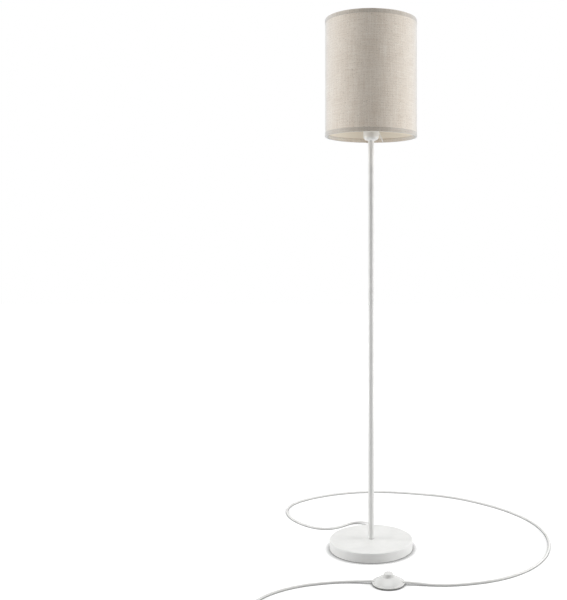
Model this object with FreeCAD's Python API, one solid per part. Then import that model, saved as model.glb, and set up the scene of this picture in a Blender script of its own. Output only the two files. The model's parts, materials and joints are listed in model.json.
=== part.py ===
import FreeCAD, Part
import math
import os

# A column floor lamp: a drum shade on a straight tube, a round weighted base, and a lead with a
# foot switch. Sizes are millimetres. Z is up from the floor, the origin is under the middle of the
# base, X runs to the right and Y to the back, where the lead leaves the base.

V = FreeCAD.Vector
UP = V(0, 0, 1)

# Base
base_radius = 112.5
base_height = 26.0          # top of the cover above the floor
base_edge_radius = 2.5
cover_wall = 1.2
cover_lift = 1.5            # lower edge of the cover above the floor
pad_thickness = 2.0
pad_inset = 5.0             # pad's rim inside the cover's wall
weight_clearance = 0.3      # between the weight and the cover's wall
weight_web = 3.5            # weight left above the pocket for the nut
pocket_radius = 21.0

# Threaded nipples, nuts and washers
thread_radius = 5.0
thread_clearance = 0.1
nipple_bore_radius = 3.5
nut_flats = 17.0
nut_height = 3.2
washer_thickness = 1.5
washer_radius = 15.0

# Column
tube_radius = 8.0
tube_wall = 1.2
section_count = 3
section_length = 360.0
gasket_thickness = 0.8
gasket_inset = 0.4
bush_length = 14.0
bush_clearance = 0.1

# Cup and lamp holder
cup_radius = 21.0
cup_wall = 1.0
cup_height = 53.0
cup_corner_radius = 11.0
holder_gap = 0.8            # between the holder and the cup's wall
holder_wall = 2.0
neck_radius = 8.5
neck_height = 8.0
cap_height = 30.0
spigot_height = 5.0
flange_overhang = 2.0       # flange beyond the cup
flange_thickness = 3.2
holder_nose = 16.0          # threaded end above the flange
nose_thread_radius = 19.6
fit_clearance = 0.3         # between seated parts that can be turned by hand
terminal_offset = 9.0       # terminals from the axis
terminal_height = 4.0       # screws above the contact block's foot
terminal_screw_radius = 1.4
terminal_screw_length = 4.6
well_depth = 7.0

# Lamp with a screw cap
lamp_thread_radius = 13.1
thread_shell_wall = 0.4
lamp_cap_length = 25.0
lamp_radius = 30.0
lamp_length = 106.0

# Shade
shade_radius = 125.0
shade_height = 317.0
carrier_drop = 48.0         # from the carrier's seat down to the shade's lower edge
carrier_thickness = 1.5
carrier_radius = 29.5
carrier_clearance = 0.6     # between the carrier's hole and the holder's thread
ring_radius = 26.5
ring_height = 8.0
ring_grips = 12
wire_radius = 1.5
arm_count = 3
first_arm_angle = 74.0
hem_height = 11.5
hem_step = 0.5              # the doubled cloth of a hem stands this much proud
cloth_thickness = 0.6
film_thickness = 0.7
glue_gap = 0.1

# Cable and its strain relief at the base
cable_radius = 2.7
cable_bend = 6.0
cable_clearance = 0.2
core_radius = 1.1
relief_length = 28.0
relief_root_wall = 1.7
relief_tip_wall = 0.6
relief_collar_wall = 2.6
relief_ribs = 4

# Foot switch
switch_x = 42.0
switch_y = -241.0
switch_turn = -5.0
switch_radius = 40.0        # lip of the cover
switch_pad_thickness = 2.0
switch_floor = 1.2          # base plate
dome_radius = 38.2          # foot of the dome
dome_height = 17.0          # of the dome over the base plate
dome_wall = 1.8
lip_height = 2.4
button_radius = 11.5
button_rise = 8.0           # button above the dome
button_travel = 3.5
button_clearance = 0.4
button_wall = 1.6
spring_radius = 6.5
spring_wire_radius = 0.5
spring_turns = 6
clamp_distance = 17.0       # cord clamps from the switch's middle
clamp_screw_offset = 6.5    # to each side of the cable
case_screw_circle = 25.0
case_screw_radius = 1.5
case_boss_radius = 3.0

# Plug with two round pins
plug_back_x = -129.0        # the cable side of the body
plug_y = -445.0
plug_z = 7.0
plug_length = 36.0
plug_width = 35.3
plug_thickness = 13.7
plug_relief_length = 25.0
pin_spacing = 18.6
pin_radius = 2.0
pin_tip_length = 9.0
pin_sleeve_length = 10.0
pin_sleeve_recess = 0.2     # sleeve's surface below the bare pin's
pin_neck_radius = 1.4
pin_root = 6.0              # pin inside the body

# Coil of the spare lead: loops spiral in on the floor and out again on top of them
coil_x = -245.0
coil_y = -406.0
coil_radius = 32.0
coil_gap = 0.5              # between loops, and between layers
coil_run = 6.0              # straight run at each end
tie_thickness = 0.8
tie_width = 8.0
tie_clearance = 0.5

# Heights and places that follow from the sizes above
cover_inside = base_height - cover_wall
pocket_top = cover_inside - weight_web
base_nut_low = pocket_top - washer_thickness - nut_height
base_nipple_low = base_nut_low - 0.6
lead_exit_height = base_nipple_low - cable_bend
column_foot = base_height + gasket_thickness
column_top = column_foot + section_count * section_length
nipple_reach = bush_length - 1.0
cup_floor = column_top + cup_wall
cup_nut_low = cup_floor + washer_thickness
holder_low = cup_nut_low + nut_height + fit_clearance
neck_top = holder_low + neck_height
holder_radius = cup_radius - cup_wall - holder_gap
holder_inside = holder_radius - holder_wall
holder_core_radius = holder_inside - holder_wall / 4 - fit_clearance / 2
cap_top = holder_low + cap_height
cup_top = column_top + cup_height
flange_low = cup_top + 0.2
flange_top = flange_low + flange_thickness
nose_top = flange_top + holder_nose
carrier_low = flange_top + fit_clearance
carrier_top = carrier_low + carrier_thickness
ring_low = carrier_top + fit_clearance
lamp_low = nose_top - lamp_cap_length - 1.0
thread_shell_radius = lamp_thread_radius + 0.45 + thread_shell_wall
core_top = lamp_low - 2.2
core_low = neck_top + holder_wall + 6.5
shade_low = carrier_low - carrier_drop
shade_top = shade_low + shade_height
cloth_radius = shade_radius - hem_step
film_outer = cloth_radius - cloth_thickness - glue_gap
film_inner = film_outer - film_thickness
wire_ring_radius = film_inner - glue_gap - wire_radius
wire_inset = cloth_thickness + glue_gap + wire_radius
relief_bore = cable_radius + cable_clearance
relief_root_radius = relief_bore + relief_root_wall
relief_tip_radius = relief_bore + relief_tip_wall
relief_collar_radius = relief_bore + relief_collar_wall
switch_plate_top = switch_pad_thickness + switch_floor
entry_height = switch_plate_top + cable_radius + 0.1    # cable's axis in the switch
coil_pitch = 2 * cable_radius + coil_gap
coil_height = cable_radius + tie_thickness + 0.2        # axis of the lower layer
coil_top = coil_height + coil_pitch


def beside_switch(distance, height):
    """Point on the cable's line through the middle of the foot switch."""
    turn = math.radians(switch_turn)
    return (switch_x + distance * math.cos(turn), switch_y + distance * math.sin(turn), height)


# The lead lies on the floor: its axis is one radius up. Points go from inside the strain relief
# to the cord clamp in the foot switch.
lead_route = [
    (0, base_radius + 11.5, lead_exit_height), (0, base_radius + 38.5, lead_exit_height),
    (-6, base_radius + 63.5, 8.6), (-22, base_radius + 81.5, 6.2), (-44, base_radius + 86.5, 4.2),
    (-64, 189, 3.0), (-82, 170, 2.8), (-102, 152, 2.8), (-127, 143, 2.8),
    (-153, 148, 2.8), (-180, 164, 2.8), (-207, 190, 2.8), (-234, 225, 2.8), (-253, 268, 2.8),
    (-262, 316, 2.8), (-253, 364, 2.8), (-225, 405, 2.8), (-180, 443, 2.8), (-125, 474, 2.8),
    (-62, 496, 2.8), (10, 505, 2.8), (80, 499, 2.8), (150, 483, 2.8), (222, 462, 2.8),
    (287, 430, 2.8), (349, 382, 2.8), (405, 325, 2.8), (449, 262, 2.8), (480, 193, 2.8),
    (495, 122, 2.8), (494, 50, 2.8), (480, -21, 2.8), (452, -87, 2.8), (411, -147, 2.8),
    (357, -196, 2.8), (293, -231, 2.8), (226, -249, 2.8), (180, -254.5, 2.8), (144, -252, 2.9),
    beside_switch(switch_radius + 32, 4.4), beside_switch(switch_radius + 2, entry_height),
    beside_switch(clamp_distance - 4, entry_height),
]

# The second stretch leaves the other side of the switch and ends at the coil.
tail_route = [
    beside_switch(4 - clamp_distance, entry_height),
    beside_switch(-switch_radius - 2, entry_height), beside_switch(-switch_radius - 30, 4.4),
    (-60, -233, 2.9), (-98, -237, 2.8),
    (-137, -246.5, 2.8), (-172, -258, 2.8), (-203, -275, 2.8), (-229, -295, 2.8),
    (-251, -318, 2.8), (-267, -346, 3.0), (coil_x - coil_radius, coil_y + 30, coil_height),
    (coil_x - coil_radius, coil_y + coil_run, coil_height),
]

# From the coil to the plug's strain relief.
plug_route = [
    (coil_x + coil_pitch + coil_run, coil_y - coil_radius, coil_top),
    (coil_x + 25, coil_y - coil_radius, coil_top), (-203, -440, 7.8), (-185, -443, 6.4),
    (plug_back_x - 39, plug_y, plug_z), (plug_back_x - plug_relief_length, plug_y, plug_z),
]


def cylinder(radius, low, high, x=0.0, y=0.0):
    """Upright cylinder between two heights."""
    return Part.makeCylinder(radius, high - low, V(x, y, low))


def tube(outer, inner, low, high, x=0.0, y=0.0):
    """Upright tube between two heights."""
    return cylinder(outer, low, high, x, y).cut(cylinder(inner, low - 1, high + 1, x, y))


def block(x0, x1, y0, y1, z0, z1):
    """Box between two corners."""
    return Part.makeBox(x1 - x0, y1 - y0, z1 - z0, V(x0, y0, z0))


def outline(corners, place):
    """Closed face through the corners (a, b, radius), each corner rounded by its radius."""
    starts, middles, ends = [], [], []
    for index, (a, b, radius) in enumerate(corners):
        here = place(a, b)
        before = place(*corners[index - 1][:2]) - here
        after = place(*corners[(index + 1) % len(corners)][:2]) - here
        before.normalize()
        after.normalize()
        if radius <= 0:
            starts.append(here)
            middles.append(None)
            ends.append(here)
            continue
        half = before.getAngle(after) / 2
        reach = radius / math.tan(half)
        inward = before + after
        inward.normalize()
        starts.append(here + before * reach)
        middles.append(here + inward * (radius / math.sin(half) - radius))
        ends.append(here + after * reach)
    edges = []
    for index in range(len(corners)):
        if middles[index] is not None:
            edges.append(Part.Arc(starts[index], middles[index], ends[index]).toShape())
        following = starts[(index + 1) % len(corners)]
        if (following - ends[index]).Length > 1e-6:
            edges.append(Part.LineSegment(ends[index], following).toShape())
    return Part.Face(Part.Wire(edges))


def turned(corners):
    """Solid turned about Z from an outline of (radius, height, corner radius)."""
    return outline(corners, lambda a, b: V(a, 0, b)).revolve(V(0, 0, 0), UP, 360)


def hexagon(flats, low, high):
    """Upright hexagonal prism, measured across its flats."""
    reach = flats / 2 / math.cos(math.pi / 6)
    corners = [(reach * math.cos(k * math.pi / 3), reach * math.sin(k * math.pi / 3), 0)
               for k in range(6)]
    return outline(corners, lambda a, b: V(a, b, low)).extrude(V(0, 0, high - low))


def along_y(shape, y, z):
    """Stand a shape built on Z along +Y, with its start at the given place."""
    shape.rotate(V(0, 0, 0), V(1, 0, 0), -90)
    shape.translate(V(0, y, z))
    return shape


def arc_through(start, middle, end):
    return Part.Arc(start, middle, end).toShape()


def rounded_path(points):
    """Straight runs through the points joined by tangent arcs, and the arcs' radii."""
    points = [V(*p) for p in points]
    edges, radii = [], []
    here = points[0]
    for before, corner, after in zip(points, points[1:], points[2:]):
        back = before - corner
        ahead = after - corner
        shorter = min(back.Length, ahead.Length)
        back.normalize()
        ahead.normalize()
        half = back.getAngle(ahead) / 2
        reach = 0.45 * shorter
        radius = reach * math.tan(half)
        inward = back + ahead
        inward.normalize()
        start = corner + back * reach
        end = corner + ahead * reach
        middle = corner + inward * (radius / math.sin(half) - radius)
        edges.append(Part.LineSegment(here, start).toShape())
        edges.append(arc_through(start, middle, end))
        radii.append(radius)
        here = end
    edges.append(Part.LineSegment(here, points[-1]).toShape())
    return Part.Wire(edges), radii


def swept(path, radius):
    """Round tube along a wire."""
    first = path.Edges[0]
    start = first.valueAt(first.FirstParameter)
    direction = first.tangentAt(first.FirstParameter)
    section = Part.Wire([Part.makeCircle(radius, start, direction)])
    return path.makePipeShell([section], True, False)


def cord(name, points, radius=cable_radius):
    """Tube of a free cord, with its radii and its volume against section times length printed."""
    path, radii = rounded_path(points)
    solid = swept(path, radius)
    plain = math.pi * radius ** 2 * path.Length
    print(f"{name}: length {path.Length:.0f}, tightest radius {min(radii):.0f}, "
          f"volume ratio {solid.Volume / plain:.4f}")
    print("   radii", " ".join(f"{r:.0f}" for r in radii))
    return solid


# ---- base ----

def base_pad():
    radius = base_radius - cover_wall - pad_inset
    return turned([(0, 0, 0), (radius, 0, 0.6), (radius, pad_thickness, 0), (0, pad_thickness, 0)])


def base_cover():
    hole = thread_radius + 2 * thread_clearance
    inside = base_radius - cover_wall
    edge = base_edge_radius
    shell = turned([
        (hole, base_height, 0), (base_radius, base_height, edge), (base_radius, cover_lift, 0),
        (inside, cover_lift, 0), (inside, cover_inside, max(edge - cover_wall, 0.3)),
        (hole, cover_inside, 0),
    ])
    exit_hole = along_y(cylinder(relief_root_radius + 0.1, 0, 3 * cover_wall),
                        base_radius - 2 * cover_wall, lead_exit_height)
    return shell.cut(exit_hole)


def base_weight():
    radius = base_radius - cover_wall - weight_clearance
    bore = thread_radius + 2 * thread_clearance
    disc = turned([
        (bore, cover_inside, 0), (radius, cover_inside, base_edge_radius),
        (radius, pad_thickness, 1.0), (pocket_radius, pad_thickness, 0),
        (pocket_radius, pocket_top, 2.0), (bore, pocket_top, 0),
    ])
    half = cable_radius + 1.8
    roof = lead_exit_height + half
    channel = block(-half, half, pocket_radius - 3, radius + 1, pad_thickness - 1, roof)
    seat = relief_collar_radius + 0.8
    nook = block(-seat, seat, radius - 3.5, radius + 1, pad_thickness - 1,
                 lead_exit_height + seat)
    return disc.cut(channel).cut(nook)


def base_washer():
    return tube(washer_radius, thread_radius + 2 * thread_clearance, pocket_top - washer_thickness,
                pocket_top)


def threaded_nut(low):
    nut = hexagon(nut_flats, low, low + nut_height)
    bevel = turned([
        (0, low - 0.01, 0), (nut_flats / 2 + 0.4, low - 0.01, 0),
        (nut_flats / 2 + 1.6, low + 0.9, 0), (nut_flats / 2 + 1.6, low + nut_height - 0.9, 0),
        (nut_flats / 2 + 0.4, low + nut_height + 0.01, 0), (0, low + nut_height + 0.01, 0),
    ])
    return nut.common(bevel).cut(cylinder(thread_radius + thread_clearance, low - 1,
                                          low + nut_height + 1))


def nipple(low, high):
    end = 0.5
    return turned([
        (nipple_bore_radius, low, 0), (thread_radius - end, low, 0), (thread_radius, low + end, 0),
        (thread_radius, high - end, 0), (thread_radius - end, high, 0),
        (nipple_bore_radius, high, 0),
    ])


def base_strain_relief():
    """Bush that locks in the cover's wall, with a ribbed taper outside."""
    bore = relief_bore
    inner_lip = 1.6
    collar = 2.0
    wall = cover_wall + 0.3
    start = -inner_lip
    taper_low = wall + collar
    taper_high = taper_low + relief_length
    body = turned([
        (bore, start, 0), (relief_collar_radius, start, 0.4), (relief_collar_radius, 0, 0),
        (relief_root_radius, 0, 0), (relief_root_radius, wall, 0),
        (relief_collar_radius, wall, 0), (relief_collar_radius, taper_low, 0.6),
        (relief_root_radius, taper_low, 0), (relief_tip_radius, taper_high, 0.3),
        (bore, taper_high, 0),
    ])
    step = relief_length / (relief_ribs + 1)
    for k in range(relief_ribs):
        low = taper_low + step * (k + 0.6)
        groove = tube(relief_root_radius + 2, relief_bore + 0.4, low, low + 1.4)
        body = body.cut(groove)
    return along_y(body, base_radius - cover_wall - 0.15, lead_exit_height)


# ---- column ----

def section_low(index):
    return column_foot + index * section_length


def column_section(index):
    return tube(tube_radius, tube_radius - tube_wall, section_low(index),
                section_low(index) + section_length)


def column_gasket():
    return tube(tube_radius - gasket_inset, thread_radius + 2 * thread_clearance, base_height,
                column_foot)


def column_bushes():
    outer = tube_radius - tube_wall - bush_clearance
    bore = thread_radius + thread_clearance
    bushes = []
    for index in range(section_count):
        low = section_low(index)
        high = low + section_length
        bushes.append(tube(outer, bore, low, low + bush_length))
        bushes.append(tube(outer, bore, high - bush_length, high))
    return Part.makeCompound(bushes)


def joint_nipples():
    joints = [section_low(index) for index in range(1, section_count)]
    return Part.makeCompound([nipple(z - nipple_reach, z + nipple_reach) for z in joints])


# ---- cup and lamp holder ----

def holder_cup():
    hole = thread_radius + 2 * thread_clearance
    inner = cup_radius - cup_wall
    corner = min(cup_corner_radius, cup_radius - hole - 1)
    return turned([
        (hole, column_top, 0), (cup_radius, column_top, corner), (cup_radius, cup_top, 0.3),
        (inner, cup_top, 0.3), (inner, cup_floor, corner - cup_wall), (hole, cup_floor, 0),
    ])


def cup_washer():
    return tube(cup_radius - cup_corner_radius - 0.5, thread_radius + 2 * thread_clearance,
                cup_floor, cup_floor + washer_thickness)


def holder_cap():
    """Lower half of the holder: threaded neck, ledge for the contact block, spigot at the top."""
    bore = thread_radius + thread_clearance
    spigot = holder_inside + holder_wall / 2 - fit_clearance / 2
    ledge = holder_core_radius - 2.2
    inside = holder_core_radius + fit_clearance
    floor = neck_top + holder_wall
    return turned([
        (bore, holder_low, 0), (neck_radius, holder_low, 0.8), (neck_radius, neck_top, 1.5),
        (holder_radius, neck_top, 7.0), (holder_radius, cap_top, 0), (spigot, cap_top, 0),
        (spigot, cap_top + spigot_height, 0), (inside, cap_top + spigot_height, 0),
        (inside, core_low, 0), (ledge, core_low, 0), (ledge, floor, 3.0), (bore, floor, 0),
    ])


def holder_shell():
    """Upper half of the holder: skirt over the cap's spigot, flange, and a threaded nose."""
    skirt = holder_inside + holder_wall / 2 + fit_clearance / 2
    flange = cup_radius + flange_overhang
    mouth = lamp_thread_radius + 1.5
    lower = cap_top + 0.1
    ledge = cap_top + spigot_height + 0.4
    return turned([
        (skirt, lower, 0), (holder_radius, lower, 0), (holder_radius, flange_low, 0),
        (flange, flange_low, 0.8), (flange, flange_top, 0.8), (nose_thread_radius, flange_top, 0),
        (nose_thread_radius, nose_top, 1.0), (mouth, nose_top, 0.5), (mouth, nose_top - 1.6, 0),
        (holder_inside, nose_top - 1.6, 0), (holder_inside, ledge, 0), (skirt, ledge, 0),
    ])


def holder_core():
    """Contact block: a round body with a well and a side hole for each terminal."""
    radius = holder_core_radius
    body = turned([
        (0, core_low, 0), (radius, core_low, 0.6), (radius, core_top, 0), (0, core_top, 0),
    ])
    for side in (-1, 1):
        well = cylinder(core_radius + 0.3, core_low - 1, core_low + well_depth,
                        side * terminal_offset, 0)
        screw_hole = Part.makeCylinder(terminal_screw_radius + 0.2, radius,
                                       V(side * terminal_offset, 0, core_low + terminal_height),
                                       V(side, 0, 0))
        body = body.cut(well).cut(screw_hole)
    return body


def terminal_screws():
    """One slotted screw for each core, from the side of the contact block."""
    height = core_low + terminal_height
    start = terminal_offset + core_radius + 0.3
    end = start + terminal_screw_length
    screws = []
    for side in (-1, 1):
        shank = Part.makeCylinder(terminal_screw_radius, terminal_screw_length,
                                  V(side * start, 0, height), V(side, 0, 0))
        slot = block(side * end - 0.5, side * end + 0.5, -0.3, 0.3,
                     height - terminal_screw_radius - 1, height + terminal_screw_radius + 1)
        screws.append(shank.cut(slot))
    return Part.makeCompound(screws)


def holder_cores():
    """The two insulated cores of the cable, from its end to the terminals."""
    cable_end = neck_top + holder_wall
    cores = []
    for side in (-1, 1):
        points = [
            (side * 1.5, 0, cable_end), (side * 1.5, 0, cable_end + 1.6),
            (side * 4.8, 0, cable_end + 3.2), (side * terminal_offset, 0, cable_end + 4.4),
            (side * terminal_offset, 0, core_low + terminal_height - 0.5),
        ]
        path, _ = rounded_path(points)
        cores.append(swept(path, core_radius))
    return Part.makeCompound(cores)


def thread_shell():
    inner = thread_shell_radius - thread_shell_wall
    return turned([
        (8.0, core_top, 0), (thread_shell_radius, core_top, 0.6),
        (thread_shell_radius, nose_top - 2.4, 0), (inner, nose_top - 2.4, 0),
        (inner, core_top + thread_shell_wall, 0.2), (8.0, core_top + thread_shell_wall, 0),
    ])


def centre_contact():
    """Springy brass tongue that the lamp's tip presses on."""
    thick = 0.4
    rise = lamp_low - 0.2 - core_top
    width = 4.0
    low_side = [(-6.5, 0), (-3.5, 0), (-1.2, rise - thick), (1.2, rise - thick), (3.5, 0), (6.5, 0)]
    upper_side = [(6.5, thick), (3.8, thick), (1.5, rise), (-1.5, rise), (-3.8, thick),
                  (-6.5, thick)]
    corners = [(a, b, 0) for a, b in low_side + upper_side]
    face = outline(corners, lambda a, b: V(a, -width / 2, core_top + b))
    return face.extrude(V(0, width, 0))


def shade_ring():
    """Ring nut that holds the shade's carrier on the holder's nose."""
    inner = nose_thread_radius + 0.15
    ring = turned([
        (inner, ring_low, 0.3), (ring_radius, ring_low, 0.5),
        (ring_radius, ring_low + ring_height, 1.2), (inner, ring_low + ring_height, 0.5),
    ])
    for k in range(ring_grips):
        turn = 2 * math.pi * k / ring_grips
        reach = ring_radius + 1.2
        ring = ring.cut(cylinder(2.2, ring_low - 1, ring_low + ring_height + 1,
                                 reach * math.cos(turn), reach * math.sin(turn)))
    return ring


# ---- lamp ----

lamp_tip_height = 1.6
lamp_insulator_height = 3.4
lamp_cap_top = lamp_low + lamp_cap_length
lamp_waist = lamp_cap_top + 42.0    # where the housing meets the globe
lamp_wall = 1.4
globe_centre = lamp_low + lamp_length - lamp_radius
housing_inset = 3.8         # from the housing's rim in to its cone
housing_bore = 7.0
cap_overlap = 3.0           # of the housing inside the cap


def lamp_tip():
    return turned([
        (0, lamp_low, 0), (4.4, lamp_low, 0.9), (4.8, lamp_low + lamp_tip_height, 0),
        (0, lamp_low + lamp_tip_height, 0),
    ])


def lamp_insulator():
    low = lamp_low + lamp_tip_height
    return turned([
        (0, low, 0), (5.4, low, 0), (10.6, low + lamp_insulator_height, 0),
        (0, low + lamp_insulator_height, 0),
    ])


def lamp_cap():
    low = lamp_low + lamp_tip_height + lamp_insulator_height
    wall = 0.5
    return turned([
        (10.7, low, 0.2), (lamp_thread_radius, low + 2.6, 0.8),
        (lamp_thread_radius, lamp_cap_top, 0), (lamp_thread_radius - wall, lamp_cap_top, 0),
        (lamp_thread_radius - wall, low + 2.8, 0.4), (10.7 - wall, low + wall, 0),
    ])


def lamp_profile():
    """Points of the housing's outer line, flaring from the cap to the globe."""
    neck = lamp_thread_radius + 0.4
    spread = lamp_radius - 0.2 - neck
    rise = lamp_waist - lamp_cap_top
    shares = [k / 5 for k in range(6)]
    return [V(neck + spread * math.sin(share * math.pi / 2) ** 1.25, 0, lamp_cap_top + rise * share)
            for share in shares]


def lamp_housing():
    """Flared housing, hollow behind the board, with a spigot in the cap."""
    outer = lamp_profile()
    curve = Part.BSplineCurve()
    curve.interpolate(outer)
    spigot = lamp_thread_radius - 0.7
    inner = [
        V(outer[-1].x - housing_inset, 0, lamp_waist),
        V(housing_bore, 0, lamp_cap_top + 2 * cap_overlap),
        V(housing_bore, 0, lamp_cap_top - cap_overlap),
        V(spigot, 0, lamp_cap_top - cap_overlap),
        V(spigot, 0, lamp_cap_top),
    ]
    around = [outer[-1]] + inner + [outer[0]]
    edges = [curve.toShape()]
    edges += [Part.LineSegment(a, b).toShape() for a, b in zip(around, around[1:])]
    return Part.Face(Part.Wire(edges)).revolve(V(0, 0, 0), UP, 360)


def lamp_board():
    """Round board on the housing's rim, inside the globe."""
    low = lamp_waist + 0.1
    rim = math.sqrt((lamp_radius - lamp_wall) ** 2 - (globe_centre - low) ** 2)
    return tube(rim - 0.4, 2.0, low, low + 1.6)


def lamp_globe():
    """Opal cover: most of a ball, standing on the housing's rim."""
    ball = Part.makeSphere(lamp_radius, V(0, 0, globe_centre))
    hollow = Part.makeSphere(lamp_radius - lamp_wall, V(0, 0, globe_centre))
    keep = cylinder(lamp_radius + 1, lamp_waist + 0.1, globe_centre + lamp_radius + 1)
    return ball.cut(hollow).common(keep)


# ---- shade ----

def shade_cloth():
    """Cloth drum with both hems folded round their wire rings and back down the inside."""
    fold_inner = wire_ring_radius - wire_radius - glue_gap
    inner_lip = fold_inner - hem_step
    flat_outer = film_inner - glue_gap
    flat_inner = flat_outer - hem_step
    cloth_inner = cloth_radius - cloth_thickness
    bulge = wire_inset + wire_radius + 0.6
    half = [
        (shade_radius, 0, 0.7), (shade_radius, hem_height, 0), (cloth_radius, hem_height, 0),
    ]
    inside = [
        (cloth_inner, cloth_thickness, 0), (fold_inner, cloth_thickness, 0),
        (fold_inner, bulge, 0), (flat_outer, bulge + 2.6, 0), (flat_outer, hem_height, 0),
        (flat_inner, hem_height, 0), (flat_inner, bulge + 2.9, 0), (inner_lip, bulge + 0.3, 0),
        (inner_lip, 0, 0.5),
    ]
    corners = [(r, shade_low + z, c) for r, z, c in half]
    corners += [(r, shade_top - z, c) for r, z, c in reversed(half)]
    corners += [(r, shade_top - z, c) for r, z, c in reversed(inside)]
    corners += [(r, shade_low + z, c) for r, z, c in inside]
    cloth = turned(corners)
    for k in range(arm_count):
        slit = arm_wire(k, wire_radius + 0.5, inner_lip - 4)
        cloth = cloth.cut(slit)
    return cloth


def shade_film():
    inset = cloth_thickness + glue_gap
    return tube(film_outer, film_inner, shade_low + inset, shade_top - inset)


def wire_ring(z):
    return Part.makeTorus(wire_ring_radius, wire_radius, V(0, 0, z), UP)


def shade_top_ring():
    return wire_ring(shade_top - wire_inset)


def shade_bottom_ring():
    return wire_ring(shade_low + wire_inset)


def arm_wire(index, radius, inner_reach):
    """Round wire from the bottom ring up to the carrier's plate, or just its outer stretch."""
    turn = math.radians(first_arm_angle + index * 360.0 / arm_count)
    outward = V(math.cos(turn), math.sin(turn), 0)
    foot = outward * wire_ring_radius + V(0, 0, shade_low + wire_inset)
    head = outward * (carrier_radius - 1.5) + V(0, 0, carrier_low + carrier_thickness / 2)
    line = head - foot
    share = (wire_ring_radius - inner_reach) / (wire_ring_radius - carrier_radius + 1.5)
    return Part.makeCylinder(radius, line.Length * share, foot, line)


def shade_carrier():
    """Plate on the lamp holder with three wire arms down to the bottom ring."""
    hole = nose_thread_radius + carrier_clearance
    plate = tube(carrier_radius, hole, carrier_low, carrier_top)
    ring = Part.makeTorus(wire_ring_radius, wire_radius + 0.05,
                          V(0, 0, shade_low + wire_inset), UP)
    for k in range(arm_count):
        plate = plate.fuse(arm_wire(k, wire_radius, carrier_radius - 1.5))
    return plate.cut(ring)


# ---- cable inside the lamp ----

def inner_cable():
    """Cable from inside the strain relief, through the base and up the column to the holder."""
    start = V(*lead_route[0])
    corner_y = cable_bend
    low = V(0, corner_y, lead_exit_height)
    high = V(0, 0, lead_exit_height + cable_bend)
    middle = V(0, corner_y - cable_bend * math.sin(math.pi / 4),
               lead_exit_height + cable_bend * (1 - math.cos(math.pi / 4)))
    end = V(0, 0, neck_top + holder_wall)
    path = Part.Wire([
        Part.LineSegment(start, low).toShape(),
        arc_through(low, middle, high),
        Part.LineSegment(high, end).toShape(),
    ])
    solid = swept(path, cable_radius)
    plain = math.pi * cable_radius ** 2 * path.Length
    print(f"inner_cable: length {path.Length:.0f}, volume ratio {solid.Volume / plain:.4f}")
    return solid


# ---- foot switch, built about its own middle with the cable along X ----

ball_rise = dome_height + 0.4
ball_radius = (dome_radius ** 2 + ball_rise ** 2) / (2 * ball_rise)
ball_centre = switch_plate_top + ball_rise - ball_radius
entry_radius = cable_radius + cable_clearance + 0.2


def placed(shape):
    shape.rotate(V(0, 0, 0), UP, switch_turn)
    shape.translate(V(switch_x, switch_y, 0))
    return shape


def dome_height_at(radius, inset=0.0):
    return ball_centre + math.sqrt((ball_radius - inset) ** 2 - radius ** 2)


def dome_radius_at(height, inset=0.0):
    return math.sqrt((ball_radius - inset) ** 2 - (height - ball_centre) ** 2)


button_hole = button_radius + button_clearance
button_top = dome_height_at(button_radius) + button_rise
button_flange_top = dome_height_at(button_hole + 1.6, dome_wall) - 0.3
button_flange_low = button_flange_top - button_wall
case_screw_angles = (90.0, 210.0, 330.0)
case_screw_seat = switch_pad_thickness + 0.6
case_screw_end = dome_height_at(case_screw_circle + case_screw_radius, dome_wall) - 0.5
clamp_low = entry_height + 1.6
clamp_high = clamp_low + 3.6


def case_screw_places():
    return [(case_screw_circle * math.cos(math.radians(a)),
             case_screw_circle * math.sin(math.radians(a))) for a in case_screw_angles]


def cable_ways(low, high):
    """The space of the cable through the switch's wall, open to one side."""
    ways = []
    inner = dome_radius - 11.2
    outer = switch_radius + 1
    for side in (-1, 1):
        start = V(side * inner, 0, entry_height)
        ways.append(Part.makeCylinder(entry_radius, outer - inner, start, V(side, 0, 0)))
        x0, x1 = sorted((side * inner, side * outer))
        ways.append(block(x0, x1, -entry_radius, entry_radius, low, high))
    return ways


def switch_pad():
    pad = turned([
        (0, 0, 0), (dome_radius - 0.8, 0, 0.4), (dome_radius - 0.8, switch_pad_thickness, 0),
        (0, switch_pad_thickness, 0),
    ])
    for x, y in case_screw_places():
        pad = pad.cut(cylinder(3.4, -1, switch_pad_thickness + 1, x, y))
    return placed(pad)


def switch_base():
    """Base plate with an upstanding rim, a spring post, and screw and clamp bosses."""
    rim_top = switch_plate_top + 3.5
    rim_outer = dome_radius_at(rim_top, dome_wall) - 0.4
    plate = cylinder(dome_radius, switch_pad_thickness, switch_plate_top)
    plate = plate.fuse(tube(rim_outer, rim_outer - 1.4, switch_plate_top, rim_top))
    plate = plate.fuse(tube(spring_radius - spring_wire_radius - 0.5,
                            spring_radius - spring_wire_radius - 2.0,
                            switch_plate_top, switch_plate_top + 8.0))
    for x, y in case_screw_places():
        plate = plate.fuse(cylinder(3.2, switch_plate_top, switch_plate_top + 3.0, x, y))
    for side in (-1, 1):
        for across in (-clamp_screw_offset, clamp_screw_offset):
            plate = plate.fuse(cylinder(2.6, switch_plate_top, clamp_low,
                                        side * clamp_distance, across))
    for way in cable_ways(entry_height, rim_top + 1):
        plate = plate.cut(way)
    for x, y in case_screw_places():
        plate = plate.cut(cylinder(case_screw_radius + 0.2, 0, switch_plate_top + 4, x, y))
        plate = plate.cut(cylinder(3.0, 0, case_screw_seat, x, y))
    for side in (-1, 1):
        for across in (-clamp_screw_offset, clamp_screw_offset):
            plate = plate.cut(cylinder(1.2, switch_plate_top + 0.2, clamp_low + 1,
                                       side * clamp_distance, across))
    return placed(plate)


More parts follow.
